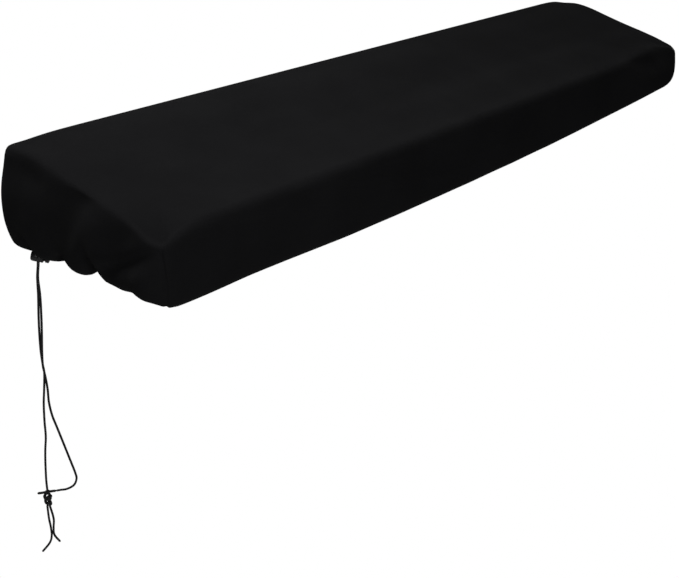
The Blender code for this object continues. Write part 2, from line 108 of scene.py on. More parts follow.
# Soft folds on the sides, each along a line from one place to another, pushed out or in
Fold = namedtuple("Fold", "wall along_1 z_1 along_2 z_2 width push")
FOLDS = [
    Fold("left", -0.012, -0.012, 0.026, -0.082, 0.020, -0.0055),
    Fold("left", 0.078, -0.004, 0.060, -0.008, 0.010, -0.002),
    Fold("left", 0.085, -0.040, 0.080, -0.082, 0.038, 0.0045),
    Fold("left", -0.020, -0.032, -0.030, -0.072, 0.025, 0.005),
    Fold("left", -0.120, -0.042, -0.045, -0.084, 0.010, -0.006),
    Fold("left", -0.105, -0.087, -0.090, -0.097, 0.022, 0.005),
    Fold("right", -0.040, -0.030, -0.050, -0.085, 0.022, -0.006),
    Fold("right", 0.060, -0.010, 0.040, -0.075, 0.026, 0.005),
    Fold("back", -0.600, -0.020, -0.560, -0.090, 0.040, -0.004),
    Fold("back", 0.580, -0.020, 0.545, -0.080, 0.045, -0.005),
]

# Sharper creases and shallow pulls that only the looks have
CREASES = [
    Fold("left", -0.124, -0.034, -0.052, -0.078, 0.0045, -0.0022),
    Fold("left", -0.078, -0.030, -0.070, -0.052, 0.012, -0.0022),
    Fold("left", 0.028, -0.046, 0.046, -0.066, 0.006, -0.0012),
    Fold("left", 0.124, 0.006, 0.124, -0.020, 0.020, 0.0030),
    Fold("left", 0.108, -0.070, 0.090, -0.092, 0.009, -0.0020),
    Fold("left", -0.040, -0.030, -0.046, -0.060, 0.010, 0.0012),
    Fold("left", -0.129, -0.070, -0.129, -0.100, 0.012, 0.0018),
    Fold("front", -0.590, -0.030, -0.330, -0.066, 0.007, 0.0013),
    Fold("front", -0.430, -0.024, -0.110, -0.086, 0.007, 0.0015),
    Fold("front", -0.330, -0.026, -0.020, -0.072, 0.006, 0.0012),
    Fold("front", -0.520, -0.070, -0.330, -0.100, 0.010, -0.0014),
    Fold("front", -0.160, -0.040, 0.100, -0.076, 0.008, 0.0010),
    Fold("front", 0.420, -0.008, 0.560, -0.042, 0.012, -0.0036),
    Fold("back", -0.420, -0.010, -0.180, -0.060, 0.010, -0.0012),
    Fold("back", -0.300, -0.030, -0.050, -0.080, 0.010, 0.0012),
    Fold("back", 0.120, -0.020, 0.360, -0.070, 0.010, -0.0012),
    Fold("right", -0.124, -0.012, -0.118, -0.034, 0.024, 0.0050),
    Fold("right", -0.100, -0.020, -0.060, -0.070, 0.010, -0.0018),
    Fold("right", 0.010, -0.006, -0.010, -0.060, 0.009, -0.0014),
    Fold("right", 0.105, 0.000, 0.090, -0.070, 0.010, -0.0018),
]

# Long shallow bands on the top, as height against a place across it, with the stretch they cover
Band = namedtuple("Band", "y start end width rise")
BANDS = [
    Band(0.114, -0.70, 0.70, 0.009, 0.0006),
    Band(0.062, -0.58, 0.72, 0.026, 0.0013),
    Band(-0.016, -0.52, 0.72, 0.022, -0.0013),
    Band(-0.054, -0.32, 0.70, 0.018, 0.0013),
    Band(-0.098, -0.28, 0.66, 0.018, -0.0010),
]

# A dent in the front edge near the right end: how far in, where, how far down, and where the
# top begins to follow it
DENT = 0.019
DENT_START = 0.40
DENT_MIDDLE = 0.59
DENT_END = 0.70
DENT_FALL = 0.060
DENT_BACK = 0.040

# Places where the drawn cord gathers the cloth: the fold is lifted and pulled in
Gather = namedtuple("Gather", "wall along lift pull width")
GATHERS = [
    Gather("left", 0.041, 0.011, 0.007, 0.017),
    Gather("left", 0.088, 0.005, 0.006, 0.014),
    Gather("left", -0.021, 0.017, 0.011, 0.013),
    Gather("left", -0.088, 0.002, 0.005, 0.012),
    Gather("right", -0.060, 0.006, 0.009, 0.016),
    Gather("right", 0.020, 0.007, 0.010, 0.018),
    Gather("right", 0.085, 0.005, 0.008, 0.015),
]

# Where the cord leaves the hem, and the direction in which the loose ends spread
EXIT_X = -0.6605
EXIT_Y = 0.095
EXIT_Z = -0.108784
SPREAD = Vector((0.620, -0.785, 0.0))
DEEPER = Vector((0.785, 0.620, 0.0))
EXIT_LIP_SHORTER = 0.020
EXIT_LIP_REACH = 0.05

# The hanging cord, as side and drop from the middle of the lock
Point = namedtuple("Point", "side drop")
TOGETHER = [
    Point(0.0000, 0.010), Point(-0.0020, 0.030), Point(-0.0017, 0.055), Point(-0.0026, 0.085),
    Point(-0.0034, 0.110), Point(-0.0040, 0.135), Point(-0.0035, 0.155),
]
STRAIGHT_STRAND = [
    Point(-0.0028, 0.168), Point(-0.0045, 0.192), Point(-0.0065, 0.215), Point(-0.0072, 0.242),
    Point(-0.0070, 0.266), Point(-0.0090, 0.288), Point(-0.0102, 0.310), Point(-0.0105, 0.335),
]
BOWED_STRAND = [
    Point(-0.0010, 0.170), Point(0.0010, 0.190), Point(0.0015, 0.210), Point(0.0045, 0.230),
    Point(0.0097, 0.248), Point(0.0150, 0.266), Point(0.0205, 0.285), Point(0.0260, 0.304),
    Point(0.0305, 0.320), Point(0.0318, 0.330), Point(0.0275, 0.341), Point(0.0175, 0.3485),
    Point(0.0085, 0.3510),
]
KNOT_MIDDLE = Point(-0.0098, 0.366)
KNOT_TURN_ROUTE = [
    Point(-0.0235, 0.3590), Point(-0.0150, 0.3570), Point(-0.0060, 0.3545), Point(0.0020, 0.3528),
]
LONG_TAIL = [
    Point(-0.0115, 0.3776), Point(-0.0105, 0.400), Point(-0.0088, 0.415), Point(-0.0085, 0.430),
    Point(-0.0120, 0.4425), Point(-0.0230, 0.4585),
]
SHORT_TAIL = [
    Point(-0.0081, 0.3776), Point(-0.0040, 0.400), Point(-0.0050, 0.416), Point(-0.0045, 0.428),
    Point(0.0030, 0.4395),
]

# The parts of the side in the units of the solids' rings, and the fine rings in each
EDGE_STEPS = 2
WALL_STEPS = 6
FOLD_STEPS = 3
LIP_STEPS = 2
FINE_EDGE = 5
FINE_WALL = 22
FINE_FOLD = 8
FINE_LIP = 12
FINE_SIDE = FINE_EDGE + FINE_WALL + FINE_FOLD + FINE_LIP

TOP_HALF_X = LENGTH / 2 - EDGE_ROUND
TOP_HALF_Y = DEPTH / 2 - EDGE_ROUND

# The flat cut, its thickness and its hem
KNIT = 0.0008
HEM = 0.0045
WALL_RUN = 0.106
FOLD_RUN = 0.031
RIPPLE_PITCH = 0.0105
RIPPLE_HEIGHT = 0.0013
SEAM_GROOVE = 0.0020
SEAM_WIDTH = 0.0028
WALL_SEED = {"left": 0.0, "right": 11.0, "front": 22.0, "back": 33.0}

# The stitched groove of the hem, its place and width in the units of the rings
STITCH_RING = 11.55
STITCH_WIDTH = 0.14
STITCH_DEPTH = 0.0008
STITCH_LENGTH = 0.0135

# The windings of the knot, and the steps along every cord
WINDING_START = 0.4
WINDING_ONE_TURNS = 2.2
WINDING_TWO_TURNS = -1.7
WINDING_THICKER = 0.0010
WINDING_LEAN = 0.0024
WINDING_STEPS = 34
TURN_THICKER = 0.0004
ROUTE_STEP = 0.0008

# The photograph's view, and the floor
CAMERA_PLACE = (-1.453, -1.010, 0.4875)
CAMERA_TURNS = (radians(51.71), radians(25.67), radians(3.0))
FILM_WIDTH = 36.0
PHOTO_WIDTH = 679.0
FOCAL_LENGTH = 1160.0
FLOOR_HEIGHT = -0.78
FLOOR_HALF = 30.0


def smooth_row(table, value):
    """Height at a value, on a smooth curve through a table's rows."""
    if value <= table[0].at:
        return table[0].height
    if value >= table[-1].at:
        return table[-1].height
    k = 0
    while value > table[k + 1].at:
        k += 1
    first, second = table[k], table[k + 1]
    step = second.at - first.at
    s = (value - first.at) / step

    def slope(row):
        low, high = table[max(row - 1, 0)], table[min(row + 1, len(table) - 1)]
        return (high.height - low.height) / (high.at - low.at)

    rise = s * s * (3 - 2 * s)
    bend_1 = s * (1 - s) ** 2 * slope(k) * step
    bend_2 = s * s * (s - 1) * slope(k + 1) * step
    return first.height * (1 - rise) + second.height * rise + bend_1 + bend_2


def bell(distance, width):
    """One at no distance, falling softly to nothing past about two widths."""
    return exp(-(distance / width) ** 2)


def ramp(value, start, end):
    """Zero before start, one after end, smooth between."""
    s = max(0.0, min(1.0, (value - start) / (end - start)))
    return s * s * (3 - 2 * s)


def line_distance(px, pz, fold):
    """Distance of a place on a wall from the line of a fold."""
    dx, dz = fold.along_2 - fold.along_1, fold.z_2 - fold.z_1
    s = ((px - fold.along_1) * dx + (pz - fold.z_1) * dz) / (dx * dx + dz * dz)
    s = max(0.0, min(1.0, s))
    return hypot(px - fold.along_1 - s * dx, pz - fold.z_1 - s * dz)


def top_height(x, y):
    """Outer face of the top: a profile from front to back, drooping at the corners."""
    z = smooth_row(TOP_ACROSS, y)
    for corner in CORNERS:
        away = hypot(x - corner.end * LENGTH / 2, y - corner.side * DEPTH / 2)
        z -= corner.droop * bell(away, corner.reach)
    return z


def dent(x, y, down):
    """How far the front edge is pressed in near the right end, less and less down the side."""
    along = ramp(x, DENT_START, DENT_MIDDLE) * (1 - ramp(x, DENT_MIDDLE, DENT_END))
    return DENT * along * ramp(-y, DENT_BACK, TOP_HALF_Y) * (1 - ramp(down, 0.0, DENT_FALL))


def low_height(x, y):
    """Lowest height of the side that hangs from the top's edge at x, y."""
    end_lift = smooth_row(LEFT_END_LIFT, y) * bell(x + LENGTH / 2, LEFT_END_REACH)
    return smooth_row(LOW_ALONG, x) + end_lift


def lip_run(x, y):
    """How far the hem runs in under the cover. The drawn cord bunches it where it comes out."""
    bunched = EXIT_LIP_SHORTER * bell(hypot(x + LENGTH / 2, y - EXIT_Y), EXIT_LIP_REACH)
    return LIP_RUN - LIP_SLANT * y - bunched


def side_section(ring, fall, lip, sharp):
    """Out, down and turn of the cloth at a ring: over the edge, down, round the fold and in."""
    if ring <= EDGE_STEPS:
        turn = pi / 2 * ring / EDGE_STEPS
        out = EDGE_ROUND * (max(0.0, sin(turn)) ** (2 / sharp) - 1)
        return out, EDGE_ROUND * (1 - max(0.0, cos(turn)) ** (2 / sharp)), turn
    ring -= EDGE_STEPS
    wall = fall - EDGE_ROUND - FOLD_ROUND
    if ring <= WALL_STEPS:
        return 0.0, EDGE_ROUND + wall * ring / WALL_STEPS, pi / 2
    ring -= WALL_STEPS
    whole_turn = pi / 2 + LIP_RISE
    turn = whole_turn * min(ring / FOLD_STEPS, 1.0)
    run = lip * max(ring - FOLD_STEPS, 0) / LIP_STEPS
    out = FOLD_ROUND * (cos(turn) - 1) - run * cos(LIP_RISE)
    down = EDGE_ROUND + wall + FOLD_ROUND * sin(turn) - run * sin(LIP_RISE)
    return out, down, pi / 2 + turn


def corner_at(x, y):
    """The sewn corner nearest to a place."""
    return next(corner for corner in CORNERS if corner.end * x >= 0 and corner.side * y >= 0)


def corner_radius(corner, inset, share):
    """Radius of a ring's corner, from none inside the top to the fold's."""
    if inset > 0:
        return corner.top_radius * max(0.0, 1 - inset / CORNER_REACH)
    return corner.top_radius + (corner.fold_radius - corner.top_radius) * share


def ring_place(x, y, inset, out, share, on_end):
    """Place and outward direction on a rounded ring, for the place x, y on the straight one."""
    corner = corner_at(x, y)
    radius = corner_radius(corner, inset, share)
    if on_end:
        across, along = x, y
        half_across, half_along = LENGTH / 2, DEPTH / 2
    else:
        across, along = y, x
        half_across, half_along = DEPTH / 2, LENGTH / 2
    side = 1 if across > 0 else -1
    way = 1 if along > 0 else -1
    half = half_along - EDGE_ROUND - inset
    to_corner = half - abs(along)
    reach_across, reach_along = half_across + out, half_along + out
    if to_corner < radius:
        turn = (corner.seam if on_end else pi / 2 - corner.seam) * (1 - to_corner / radius)
        place_across = reach_across - radius + radius * cos(turn)
        place_along = way * (reach_along - radius + radius * sin(turn))
        normal_across, normal_along = side * cos(turn), way * sin(turn)
    else:
        place_across = reach_across
        place_along = along * (reach_along - radius) / max(half - radius, 0.002)
        normal_across, normal_along = side, 0.0
    if on_end:
        return side * place_across, place_along, normal_across, normal_along
    return place_along, side * place_across, normal_along, normal_across


def uneven(across, down, across_size, down_size, seed):
    """A small smooth unevenness between -1 and 1, stretched along one way."""
    return noise.noise(Vector((across / across_size, down / down_size, seed)))


def top_place(x, y):
    """A place on the top, on rings that grow rounder at the corners towards the edge."""
    to_end, to_side = TOP_HALF_X - abs(x), TOP_HALF_Y - abs(y)
    inset = min(to_end, to_side)
    place_x, place_y, _, _ = ring_place(x, y, inset, -EDGE_ROUND - inset, 0.0, to_end <= to_side)
    inside = ramp(inset, 0.0, 0.02)
    z = top_height(x, y)
    for band in BANDS:
        cover = ramp(x, band.start, band.start + 0.25) * (1 - ramp(x, band.end - 0.15, band.end))
        wander = 0.006 * uneven(x, 0.0, 0.35, 1.0, band.y * 100)
        z += band.rise * bell(y - band.y - wander, band.width) * cover * inside
    z += 0.0005 * uneven(x + 0.6 * y, y - 0.1 * x, 0.16, 0.030, 3.7) * inside
    return place_x, place_y + dent(x, y, 0.0), z


def hem_wave(along, seed):
    """Fine gathers of the drawn hem: uneven ripples about a centimetre apart."""
    wander = 2.2 * uneven(along, 0.0, 0.05, 1.0, seed)
    strength = 0.65 + 0.6 * uneven(along, 0.0, 0.08, 1.0, seed + 5)
    return strength * sin(2 * pi * along / RIPPLE_PITCH + 2 * wander)


def wall_of(x, y, on_end):
    """The side that a place belongs to, and how far along that side it lies."""
    if on_end:
        return ("left" if x < 0 else "right"), y
    return ("front" if y < 0 else "back"), x


def gathered(x, y, on_end):
    """How far the drawn cord lifts the fold and pulls it in below the top's edge at x, y."""
    wall, along = wall_of(x, y, on_end)
    lift = pull = 0.0
    for gather in GATHERS:
        if gather.wall == wall:
            share = bell(along - gather.along, gather.width)
            lift += gather.lift * share
            pull += gather.pull * share
    return lift, pull


def side_push(x, y, z, share, on_wall, on_end):
    """How far one side stands out at a height, with its swell, folds, creases and gathers."""
    wall, along = wall_of(x, y, on_end)
    _, pull = gathered(x, y, on_end)
    push = SWELL[wall] * sin(pi * share ** SWELL_SAG) * on_wall - pull * share ** 2
    for fold in FOLDS + CREASES:
        if fold.wall == wall:
            push += fold.push * bell(line_distance(along, z, fold), fold.width) * on_wall
    return push


def seam_sharp(x, y):
    """At a corner both sides turn over the top's edge alike, by their mean."""
    return (EDGE_SHARP[wall_of(x, y, True)[0]] + EDGE_SHARP[wall_of(x, y, False)[0]]) / 2


def seam_push(x, y, z, share, on_wall):
    """Where two sides meet at a corner seam both stand out equally far, by their mean."""
    corner_x = TOP_HALF_X if x > 0 else -TOP_HALF_X
    corner_y = TOP_HALF_Y if y > 0 else -TOP_HALF_Y
    pushes = [side_push(corner_x, corner_y, z, share, on_wall, on_end) for on_end in (True, False)]
    return sum(pushes) / 2


def side_place(x, y, ring, on_end):
    """A place on a side, with its folds, gathers and seams and the ripples of the hem."""
    wall, along = wall_of(x, y, on_end)
    seed = WALL_SEED[wall]
    top = top_height(x, y)
    fall = top - low_height(x, y) - gathered(x, y, on_end)[0]
    to_seam = (TOP_HALF_Y if on_end else TOP_HALF_X) - abs(along)
    at_seam = 1 - ramp(to_seam, 0.0, SEAM_BLEND)
    sharp = EDGE_SHARP[wall] + (seam_sharp(x, y) - EDGE_SHARP[wall]) * at_seam
    out, down, turn = side_section(ring, fall, lip_run(x, y), sharp)
    share = max(0.0, min(1.0, down / fall))
    place_x, place_y, normal_x, normal_y = ring_place(x, y, 0.0, out, share, on_end)
    z = top - down
    on_wall = ramp(turn, radians(20), radians(85)) * (1 - ramp(turn, radians(100), radians(175)))
    push = side_push(x, y, z, share, on_wall, on_end)
    if at_seam:
        push += (seam_push(x, y, z, share, on_wall) - push) * at_seam
    calm = ramp(to_seam, 0.0, 0.012)
    push += 0.0006 * uneven(along + 1.5 * z, z, 0.06, 0.03, seed) * on_wall * calm
    push -= SEAM_GROOVE * bell(to_seam, SEAM_WIDTH) * ramp(turn, radians(40), radians(90))
    lip_ring = EDGE_STEPS + WALL_STEPS + FOLD_STEPS
    on_lip = ramp(ring, lip_ring - 1.4, lip_ring + 0.4)
    push += RIPPLE_HEIGHT * hem_wave(along, seed) * on_lip * calm
    stitched = bell(ring - STITCH_RING, STITCH_WIDTH) * calm
    push -= STITCH_DEPTH * stitched * (0.6 + 0.4 * sin(2 * pi * along / STITCH_LENGTH))
    flat, steep = cos(turn), sin(turn)
    place_y += dent(x, y, down)
    return place_x + normal_x * steep * push, place_y + normal_y * steep * push, z + flat * push


def stations(half, near, far, reach):
    """Places across the top, close together at both ends and wider apart in the middle."""
    places = [0.0]
    seam = [half, half - 0.0010, half - 0.0022, half - 0.0036, half - 0.0054]
    while places[-1] < seam[-1] - near:
        to_end = seam[-1] - places[-1]
        places.append(places[-1] + near + (far - near) * min(1.0, max(0.0, to_end / reach)))
    squeeze = seam[-1] / places[-1]
    right = [place * squeeze for place in places[1:]] + seam[-2::-1]
    return [-place for place in right[::-1]] + [0.0] + right


def fine_rings():
    """Fine rings down the side, in the units of the solids' rings."""
    rings = [0.0]
    for part, fine in (
        (EDGE_STEPS, FINE_EDGE), (WALL_STEPS, FINE_WALL), (FOLD_STEPS, FINE_FOLD), (LIP_STEPS, FINE_LIP),
    ):
        start = rings[-1]
        rings += [start + part * (k + 1) / fine for k in range(fine)]
    return rings


def flat_run(ring):
    """How far down the flat cut a ring lies from the top's edge, for the run of the knit."""
    part = min(ring, EDGE_STEPS) / EDGE_STEPS * EDGE_ROUND * pi / 2
    part += max(0.0, min(ring - EDGE_STEPS, WALL_STEPS)) / WALL_STEPS * WALL_RUN
    part += max(0.0, min(ring - EDGE_STEPS - WALL_STEPS, FOLD_STEPS)) / FOLD_STEPS * FOLD_RUN
    return part + max(0.0, ring - EDGE_STEPS - WALL_STEPS - FOLD_STEPS) / LIP_STEPS * LIP_RUN


def new_material(name):
    material = bpy.data.materials.new(name)
    material.use_nodes = True
    tree = material.node_tree
    return material, tree, tree.nodes["Principled BSDF"]


def add_node(tree, kind, **settings):
    node = tree.nodes.new(kind)
    for key, value in settings.items():
        setattr(node, key, value)
    return node


def set_inputs(node, **values):
    for key, value in values.items():
        node.inputs[key.replace("_", " ")].default_value = value


def noise_node(tree, vector, scale, detail, roughness=0.5):
    node = add_node(tree, "ShaderNodeTexNoise")
    set_inputs(node, Scale=scale, Detail=detail, Roughness=roughness)
    tree.links.new(vector, node.inputs["Vector"])
    return node.outputs["Fac"]


def wave_node(tree, vector, scale, direction, distortion=0.0):
    node = add_node(tree, "ShaderNodeTexWave", bands_direction=direction)
    set_inputs(node, Scale=scale, Distortion=distortion)
    tree.links.new(vector, node.inputs["Vector"])
    return node.outputs["Fac"]


def math_node(tree, operation, first, second):
    node = add_node(tree, "ShaderNodeMath", operation=operation)
    for socket, value in zip(node.inputs, (first, second)):
        if isinstance(value, (int, float)):
            socket.default_value = value
        else:
            tree.links.new(value, socket)
    return node.outputs["Value"]


def map_node(tree, value, low, high, to_low, to_high):
    node = add_node(tree, "ShaderNodeMapRange")
    for socket, number in zip(node.inputs[1:5], (low, high, to_low, to_high)):
        socket.default_value = number
    tree.links.new(value, node.inputs["Value"])
    return node.outputs["Result"]


def tint_node(tree, share, dark, light):
    node = add_node(tree, "ShaderNodeMix", data_type="RGBA")
    tree.links.new(share, node.inputs["Factor"])
    node.inputs["A"].default_value = (*dark, 1.0)
    node.inputs["B"].default_value = (*light, 1.0)
    return node.outputs["Result"]


def bump_node(tree, surface, height, distance, strength):
    node = add_node(tree, "ShaderNodeBump")
    set_inputs(node, Distance=distance, Strength=strength)
    tree.links.new(height, node.inputs["Height"])
    tree.links.new(node.outputs["Normal"], surface.inputs["Normal"])
    return node


def knit_material():
    """Matt black stretch knit: fine wales and courses, a soft sheen, and uneven dye."""
    material, tree, surface = new_material("black_stretch_knit")
    place = add_node(tree, "ShaderNodeTexCoord")
    cloth = place.outputs["UV"]
    wales = wave_node(tree, cloth, 260.0, "X", 0.4)
    courses = wave_node(tree, cloth, 320.0, "Y", 0.3)
    loops = math_node(tree, "MULTIPLY", wales, courses)
    fuzz = noise_node(tree, place.outputs["Object"], 900.0, 3.0, 0.6)
    height = math_node(tree, "ADD", loops, math_node(tree, "MULTIPLY", fuzz, 0.5))
    bump_node(tree, surface, height, 0.00012, 0.35)
    dye = noise_node(tree, place.outputs["Object"], 9.0, 3.0)
    fleck = noise_node(tree, place.outputs["Object"], 420.0, 2.0)
    broad = math_node(tree, "MULTIPLY", dye, 0.7)
    mottle = math_node(tree, "ADD", broad, math_node(tree, "MULTIPLY", fleck, 0.3))
    share = map_node(tree, mottle, 0.35, 0.65, 0.0, 1.0)
    colour = tint_node(tree, share, (0.0080, 0.0080, 0.0086), (0.0104, 0.0104, 0.0111))
    tree.links.new(colour, surface.inputs["Base Color"])
    tree.links.new(map_node(tree, fuzz, 0.3, 0.7, 0.78, 0.92), surface.inputs["Roughness"])
    set_inputs(surface, Specular_IOR_Level=0.0, Sheen_Weight=0.02, Sheen_Roughness=0.5)
    return material


def cord_material():
    """Round braid of black polyester."""
    material, tree, surface = new_material("black_braid")
    place = add_node(tree, "ShaderNodeTexCoord")
    braid = place.outputs["UV"]
    one_way = wave_node(tree, braid, 1.0, "DIAGONAL")
    fuzz = noise_node(tree, place.outputs["Object"], 2600.0, 3.0, 0.6)
    height = math_node(tree, "ADD", one_way, math_node(tree, "MULTIPLY", fuzz, 0.6))
    bump_node(tree, surface, height, 0.0002, 0.5)
    share = map_node(tree, fuzz, 0.35, 0.65, 0.0, 1.0)
    colour = tint_node(tree, share, (0.006, 0.006, 0.0065), (0.014, 0.014, 0.015))
    tree.links.new(colour, surface.inputs["Base Color"])
    tree.links.new(map_node(tree, fuzz, 0.3, 0.7, 0.55, 0.75), surface.inputs["Roughness"])
    set_inputs(surface, Specular_IOR_Level=0.25, Sheen_Weight=0.08, Sheen_Roughness=0.4)
    return material


def plastic_material():
    """Satin black moulding with a fine spark texture and uneven smudges."""
    material, tree, surface = new_material("black_moulding")
    place = add_node(tree, "ShaderNodeTexCoord")
    grain = noise_node(tree, place.outputs["Object"], 3200.0, 2.0)
    smudge = noise_node(tree, place.outputs["Object"], 260.0, 3.0)
    bump_node(tree, surface, grain, 0.00004, 0.25)
    share = map_node(tree, smudge, 0.35, 0.65, 0.0, 1.0)
    colour = tint_node(tree, share, (0.010, 0.010, 0.011), (0.016, 0.016, 0.017))
    tree.links.new(colour, surface.inputs["Base Color"])
    tree.links.new(map_node(tree, smudge, 0.3, 0.7, 0.30, 0.46), surface.inputs["Roughness"])
    set_inputs(surface, Specular_IOR_Level=0.5)
    return material


def add_object(name, shape, material, slot, *nodes):
    piece = bpy.data.objects.new(name, shape)
    bpy.context.scene.collection.objects.link(piece)
    if material:
        shape.materials.append(material)
    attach(piece, "root")
    if nodes:
        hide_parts(*nodes)
    return piece


def add_camera():
    """The photograph's view: seen from above the front left corner, rolled a little."""
    pan, tilt, roll = CAMERA_TURNS
    ahead = Vector((sin(pan) * cos(tilt), cos(pan) * cos(tilt), -sin(tilt)))
    level = Vector((cos(pan), -sin(pan), 0.0))
    upright = level.cross(ahead)
    right = level * cos(roll) + upright * sin(roll)
    up = upright * cos(roll) - level * sin(roll)
    data = bpy.data.cameras.new("camera")
    data.sensor_width = FILM_WIDTH
    data.lens = FILM_WIDTH * FOCAL_LENGTH / PHOTO_WIDTH
    data.clip_start = 0.05
    data.clip_end = 60.0
    camera = bpy.data.objects.new("camera", data)
    camera.matrix_world = Matrix((right, up, -ahead)).transposed().to_4x4()
    camera.location = CAMERA_PLACE
    bpy.context.scene.collection.objects.link(camera)
    bpy.context.scene.camera = camera


def world_place(middle, point, deeper=0.0):
    """A side and drop from the middle of the lock, as a place in space."""
    return middle + SPREAD * point.side + DEEPER * deeper - Vector((0.0, 0.0, point.drop))


def smooth_route(points, step):
    """Evenly spaced places on a smooth curve through given ones."""
    fine = []
    ends = [points[0] * 2 - points[1]] + points + [points[-1] * 2 - points[-2]]
    for before, start, end, after in zip(ends, ends[1:], ends[2:], ends[3:]):
        for k in range(20):
            s = k / 20
            straight = start * 2 + (end - before) * s
            bent = (before * 2 - start * 5 + end * 4 - after) * s * s
            fine.append((straight + bent + (start * 3 - before - end * 3 + after) * s ** 3) / 2)
    fine.append(points[-1])
    lengths = [0.0]
    for first, second in zip(fine, fine[1:]):
        lengths.append(lengths[-1] + (second - first).length)
    count = max(2, round(lengths[-1] / step))
    route = []
    k = 0
    for number in range(count + 1):
        target = lengths[-1] * number / count
        while k < len(fine) - 2 and lengths[k + 1] < target:
            k += 1
        s = (target - lengths[k]) / (lengths[k + 1] - lengths[k])
        route.append(fine[k].lerp(fine[k + 1], s))
    return route


def strand_route(middle, exit_point, own, side, step):
    """From the hem through the lock, twisted with the other strand, then on its own way down."""
    points = [exit_point - Vector((0.0, 0.0, GAP)), middle]
    points += [world_place(middle, point) for point in TOGETHER + own]
    route = smooth_route(points, step)
    places = []
    for number, place in enumerate(route):
        twist = (middle.z - place.z - TWIST_START) / (TWIST_END - TWIST_START)
        turn = 2 * pi * TWIST_TURNS * max(0.0, min(1.0, twist))
        apart = side * STRAND_PITCH / 2 * (1 - ramp(number / (len(route) - 1), STAY_APART, 1.0))
        places.append(place + SPREAD * (apart * sin(turn)) + DEEPER * (apart * cos(turn)))
    return places


def add_tube(name, route, thickness, material, slot, *nodes, plaits=8, weave=0.0024, relief=0.05):
    """A braided cord along a route: a round tube with low relief and filled, rounded ends."""
    mesh = bpy.data.meshes.new(name)
    body = bmesh.new()
    uv = body.loops.layers.uv.new("braid")
    sides = 2 * plaits
    ahead = (route[1] - route[0]).normalized()
    across = ahead.orthogonal().normalized()
    rows, runs = [], [0.0]
    for number, place in enumerate(route):
        following = route[min(number + 1, len(route) - 1)] - route[max(number - 1, 0)]
        ahead = following.normalized()
        across = (across - ahead * across.dot(ahead)).normalized()
        upright = ahead.cross(across)
        if number:
            runs.append(runs[-1] + (place - route[number - 1]).length)
        to_end = min(number, len(route) - 1 - number)
        taper = (0.62, 0.90, 1.0)[min(to_end, 2)]
        row = []
        run = pi * runs[-1] / weave
        for k in range(sides):
            angle = 2 * pi * k / sides
            crossing = sin(plaits / 2 * angle + run) * sin(plaits / 2 * angle - run)
            radius = thickness / 2 * taper * (1 + relief * crossing)
            row.append(body.verts.new(place + (across * cos(angle) + upright * sin(angle)) * radius))
        rows.append(row)
    for number, (row, after) in enumerate(zip(rows, rows[1:])):
        for k in range(sides):
            face = body.faces.new((row[k], row[(k + 1) % sides], after[(k + 1) % sides], after[k]))
            face.smooth = True
            corners = ((k, 0), (k + 1, 0), (k + 1, 1), (k, 1))
            for loop, (step, later) in zip(face.loops, corners):
                loop[uv].uv = (plaits * step / sides, runs[number + later] / weave)
    body.faces.new(rows[0][::-1])
    body.faces.new(rows[-1])
    body.to_mesh(mesh)
    body.free()
    return add_object(name, mesh, material, slot, *nodes)


def loop_route(middle, points, step):
    return smooth_route([world_place(middle, point) for point in points], step)


def knot_route(middle, start, turns):
    """One uneven winding of the knot: from the core out, round the lump, and back in."""
    centre = world_place(middle, KNOT_MIDDLE)
    height = KNOT_HEIGHT - CORD
    count = round(abs(turns) * WINDING_STEPS)
    places = []
    for number in range(count + 1):
        share = number / count
        angle = start + 2 * pi * turns * share
        out = (KNOT_WIDTH - CORD) / 2 * min(1.0, 5.0 * min(share, 1 - share) + 0.25)
        out *= 0.93 + 0.16 * sin(2.3 * angle + start)
        lean = WINDING_LEAN * sin(angle + 0.8 + start)
        drop = height * (share - 0.5)
        place = centre + SPREAD * (out * cos(angle)) + DEEPER * (out * sin(angle))
        places.append(place + Vector((0.0, 0.0, lean - drop)))
    return places


def add_turned(name, profile, place, material, slot, *nodes, sides=48, edge=0.0):
    """A turned piece: a profile of radius and height down its outer side, turned round its axis."""
    mesh = bpy.data.meshes.new(name)
    edges = [(k, k + 1) for k in range(len(profile) - 1)]
    mesh.from_pydata([(radius, 0.0, z) for radius, z in profile], edges, [])
    piece = add_object(name, mesh, material, slot, *nodes)
    piece.matrix_world = place
    turning = piece.modifiers.new("turning", "SCREW")
    turning.steps = turning.render_steps = sides
    turning.use_merge_vertices = True
    turning.merge_threshold = 0.00001
    turning.use_smooth_shade = True
    if edge:
        rounding = piece.modifiers.new("round_edges", "BEVEL")
        rounding.width = edge
        rounding.segments = 3
        rounding.limit_method = "ANGLE"
        rounding.harden_normals = True
    return piece


